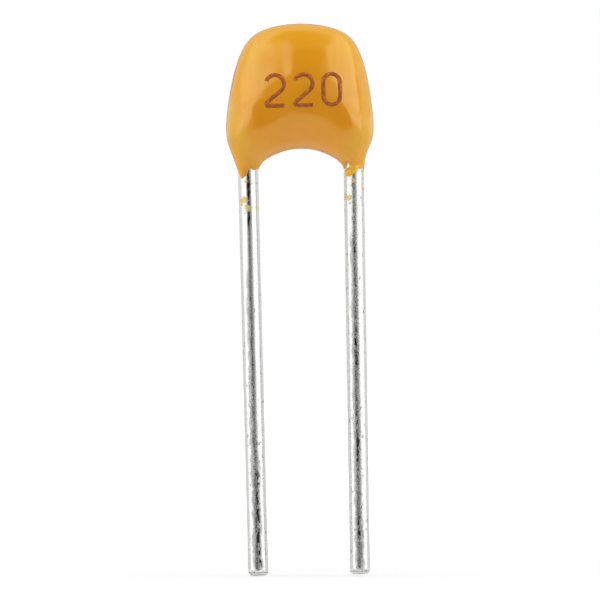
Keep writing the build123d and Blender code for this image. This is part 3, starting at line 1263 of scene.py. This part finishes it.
def add_lamp(name, place, width, height, radiance):
    """A soft area lamp that faces the body."""
    lamp = bpy.data.lights.new(name, "AREA")
    lamp.shape = "RECTANGLE"
    lamp.size = width
    lamp.size_y = height
    lamp.energy = radiance * math.pi * width * height
    source = bpy.data.objects.new(name, lamp)
    source.location = place
    source.rotation_euler = (LAMP_AIM - place).to_track_quat("-Z", "Y").to_euler()
    source.visible_camera = False
    source.visible_glossy = False
    bpy.context.scene.collection.objects.link(source)


def add_lamps(stage):
    """Two soft lamps at the sides and one above."""
    distance = stage.lamp_distance
    for name, turn, share in SIDE_LAMPS:
        angle = math.radians(turn)
        place = LAMP_AIM + Vector((math.sin(angle), -math.cos(angle), SIDE_LAMP_RISE)) * distance
        width, height = (size * distance for size in SIDE_LAMP_SIZE)
        add_lamp(name, place, width, height, radiance=stage.side_level * share)
    over = LAMP_AIM + TOP_LAMP_PLACE * distance
    add_lamp("top soft lamp", over, distance, distance, radiance=stage.top_level)


def add_camera(stage):
    """A long lens square to the front of the part."""
    camera_data = bpy.data.cameras.new("camera")
    camera_data.sensor_width = 36
    camera_data.lens = camera_data.sensor_width * stage.camera_distance / stage.view_width
    camera_data.clip_start = 1 * MM
    camera_data.clip_end = 2
    camera = bpy.data.objects.new("camera", camera_data)
    camera.location = Vector(stage.aim) - Vector((0, stage.camera_distance, 0))
    camera.rotation_euler = (math.radians(90), 0, 0)
    bpy.context.scene.collection.objects.link(camera)
    bpy.context.scene.camera = camera


# Operators


class CAPACITOR_OT_coat(bpy.types.Operator):
    """Build the dipped epoxy coat"""

    bl_idname = "capacitor.coat"
    bl_label = "Dipped Coat"

    def execute(self, context):
        coat = context.scene.capacitor_coat
        material = epoxy_material(
            "dipped epoxy", coat, coat.thin_colour, thin_top=0.9 * MM, sheen=(0.12, 0.19)
        )
        set_material(make_coat(coat), material)
        return {"FINISHED"}


class CAPACITOR_OT_wires(bpy.types.Operator):
    """Build the two tinned wires"""

    bl_idname = "capacitor.wires"
    bl_label = "Tinned Wires"

    def execute(self, context):
        wire = context.scene.capacitor_wire
        material = tin_material(wire)
        for side in SIDES:
            set_material(make_wire(side, wire), material)
        return {"FINISHED"}


class CAPACITOR_OT_flecks(bpy.types.Operator):
    """Build the scraps of epoxy and the drip on the bare wires"""

    bl_idname = "capacitor.flecks"
    bl_label = "Epoxy Scraps"

    def execute(self, context):
        wire = context.scene.capacitor_wire
        coat = context.scene.capacitor_coat
        material = fleck_material(coat)
        for side, name in FLECK_NAMES.items():
            rows = [row for row in FLECK_ROWS if row[0] == side]
            set_material(make_scraps(name, rows, wire), material)
        drip = epoxy_material(
            "dripped epoxy", coat, coat.drip_colour, thin_top=1.0 * MM, sheen=(0.30, 0.36)
        )
        set_material(make_scraps("coat_drip_right", DRIP_ROWS, wire), drip)
        return {"FINISHED"}


class CAPACITOR_OT_mark(bpy.types.Operator):
    """Print the value on the front of the coat"""

    bl_idname = "capacitor.mark"
    bl_label = "Value Print"

    def execute(self, context):
        mark = context.scene.capacitor_mark
        set_material(make_mark(mark, bpy.data.objects["dipped_coat"]), ink_material(mark))
        return {"FINISHED"}


class CAPACITOR_OT_core(bpy.types.Operator):
    """Finish the ceramic, plates, terminations and solder inside the coat"""

    bl_idname = "capacitor.core"
    bl_label = "Core Finishes"

    def execute(self, context):
        finishes = {kind: core_material(*finish) for kind, finish in CORE_FINISHES.items()}
        for name, node in frame["nodes"].items():
            kind = name.split("_")[0]
            if kind in finishes:
                set_material(node, finishes[kind])
        return {"FINISHED"}


class CAPACITOR_OT_stage(bpy.types.Operator):
    """Build the floor, lamps, world and camera"""

    bl_idname = "capacitor.stage"
    bl_label = "Studio"

    def execute(self, context):
        stage = context.scene.capacitor_stage
        make_floor()
        add_lamps(stage)
        make_world(stage)
        add_camera(stage)
        context.scene.view_settings.view_transform = "Standard"
        return {"FINISHED"}


class VIEW3D_PT_capacitor(bpy.types.Panel):
    """Lists the steps and their values"""

    bl_idname = "VIEW3D_PT_capacitor"
    bl_label = "Capacitor"
    bl_space_type = "VIEW_3D"
    bl_region_type = "UI"
    bl_category = "Capacitor"

    def draw(self, context):
        layout = self.layout
        for operator in OPERATORS:
            layout.operator(operator.bl_idname)
        for attribute, group in PROPERTY_GROUPS.items():
            values = getattr(context.scene, attribute)
            box = layout.box()
            for name in group.__annotations__:
                box.prop(values, name)


OPERATORS = (
    CAPACITOR_OT_coat,
    CAPACITOR_OT_wires,
    CAPACITOR_OT_flecks,
    CAPACITOR_OT_mark,
    CAPACITOR_OT_core,
    CAPACITOR_OT_stage,
)
PROPERTY_GROUPS = {
    "capacitor_coat": CoatProperties,
    "capacitor_wire": WireProperties,
    "capacitor_mark": MarkProperties,
    "capacitor_stage": StageProperties,
}
CLASSES = (*PROPERTY_GROUPS.values(), *OPERATORS, VIEW3D_PT_capacitor)


def register():
    """Registers the classes and the scene's values."""
    for cls in CLASSES:
        bpy.utils.register_class(cls)
    for attribute, group in PROPERTY_GROUPS.items():
        setattr(bpy.types.Scene, attribute, PointerProperty(type=group))


def unregister():
    """Takes them out again."""
    for attribute in PROPERTY_GROUPS:
        delattr(bpy.types.Scene, attribute)
    for cls in reversed(CLASSES):
        bpy.utils.unregister_class(cls)


def main():
    """Builds everything in order."""
    register()
    bpy.ops.capacitor.coat()
    bpy.ops.capacitor.wires()
    bpy.ops.capacitor.flecks()
    bpy.ops.capacitor.mark()
    bpy.ops.capacitor.core()
    bpy.ops.capacitor.stage()


if __name__ == "__main__":
    main()
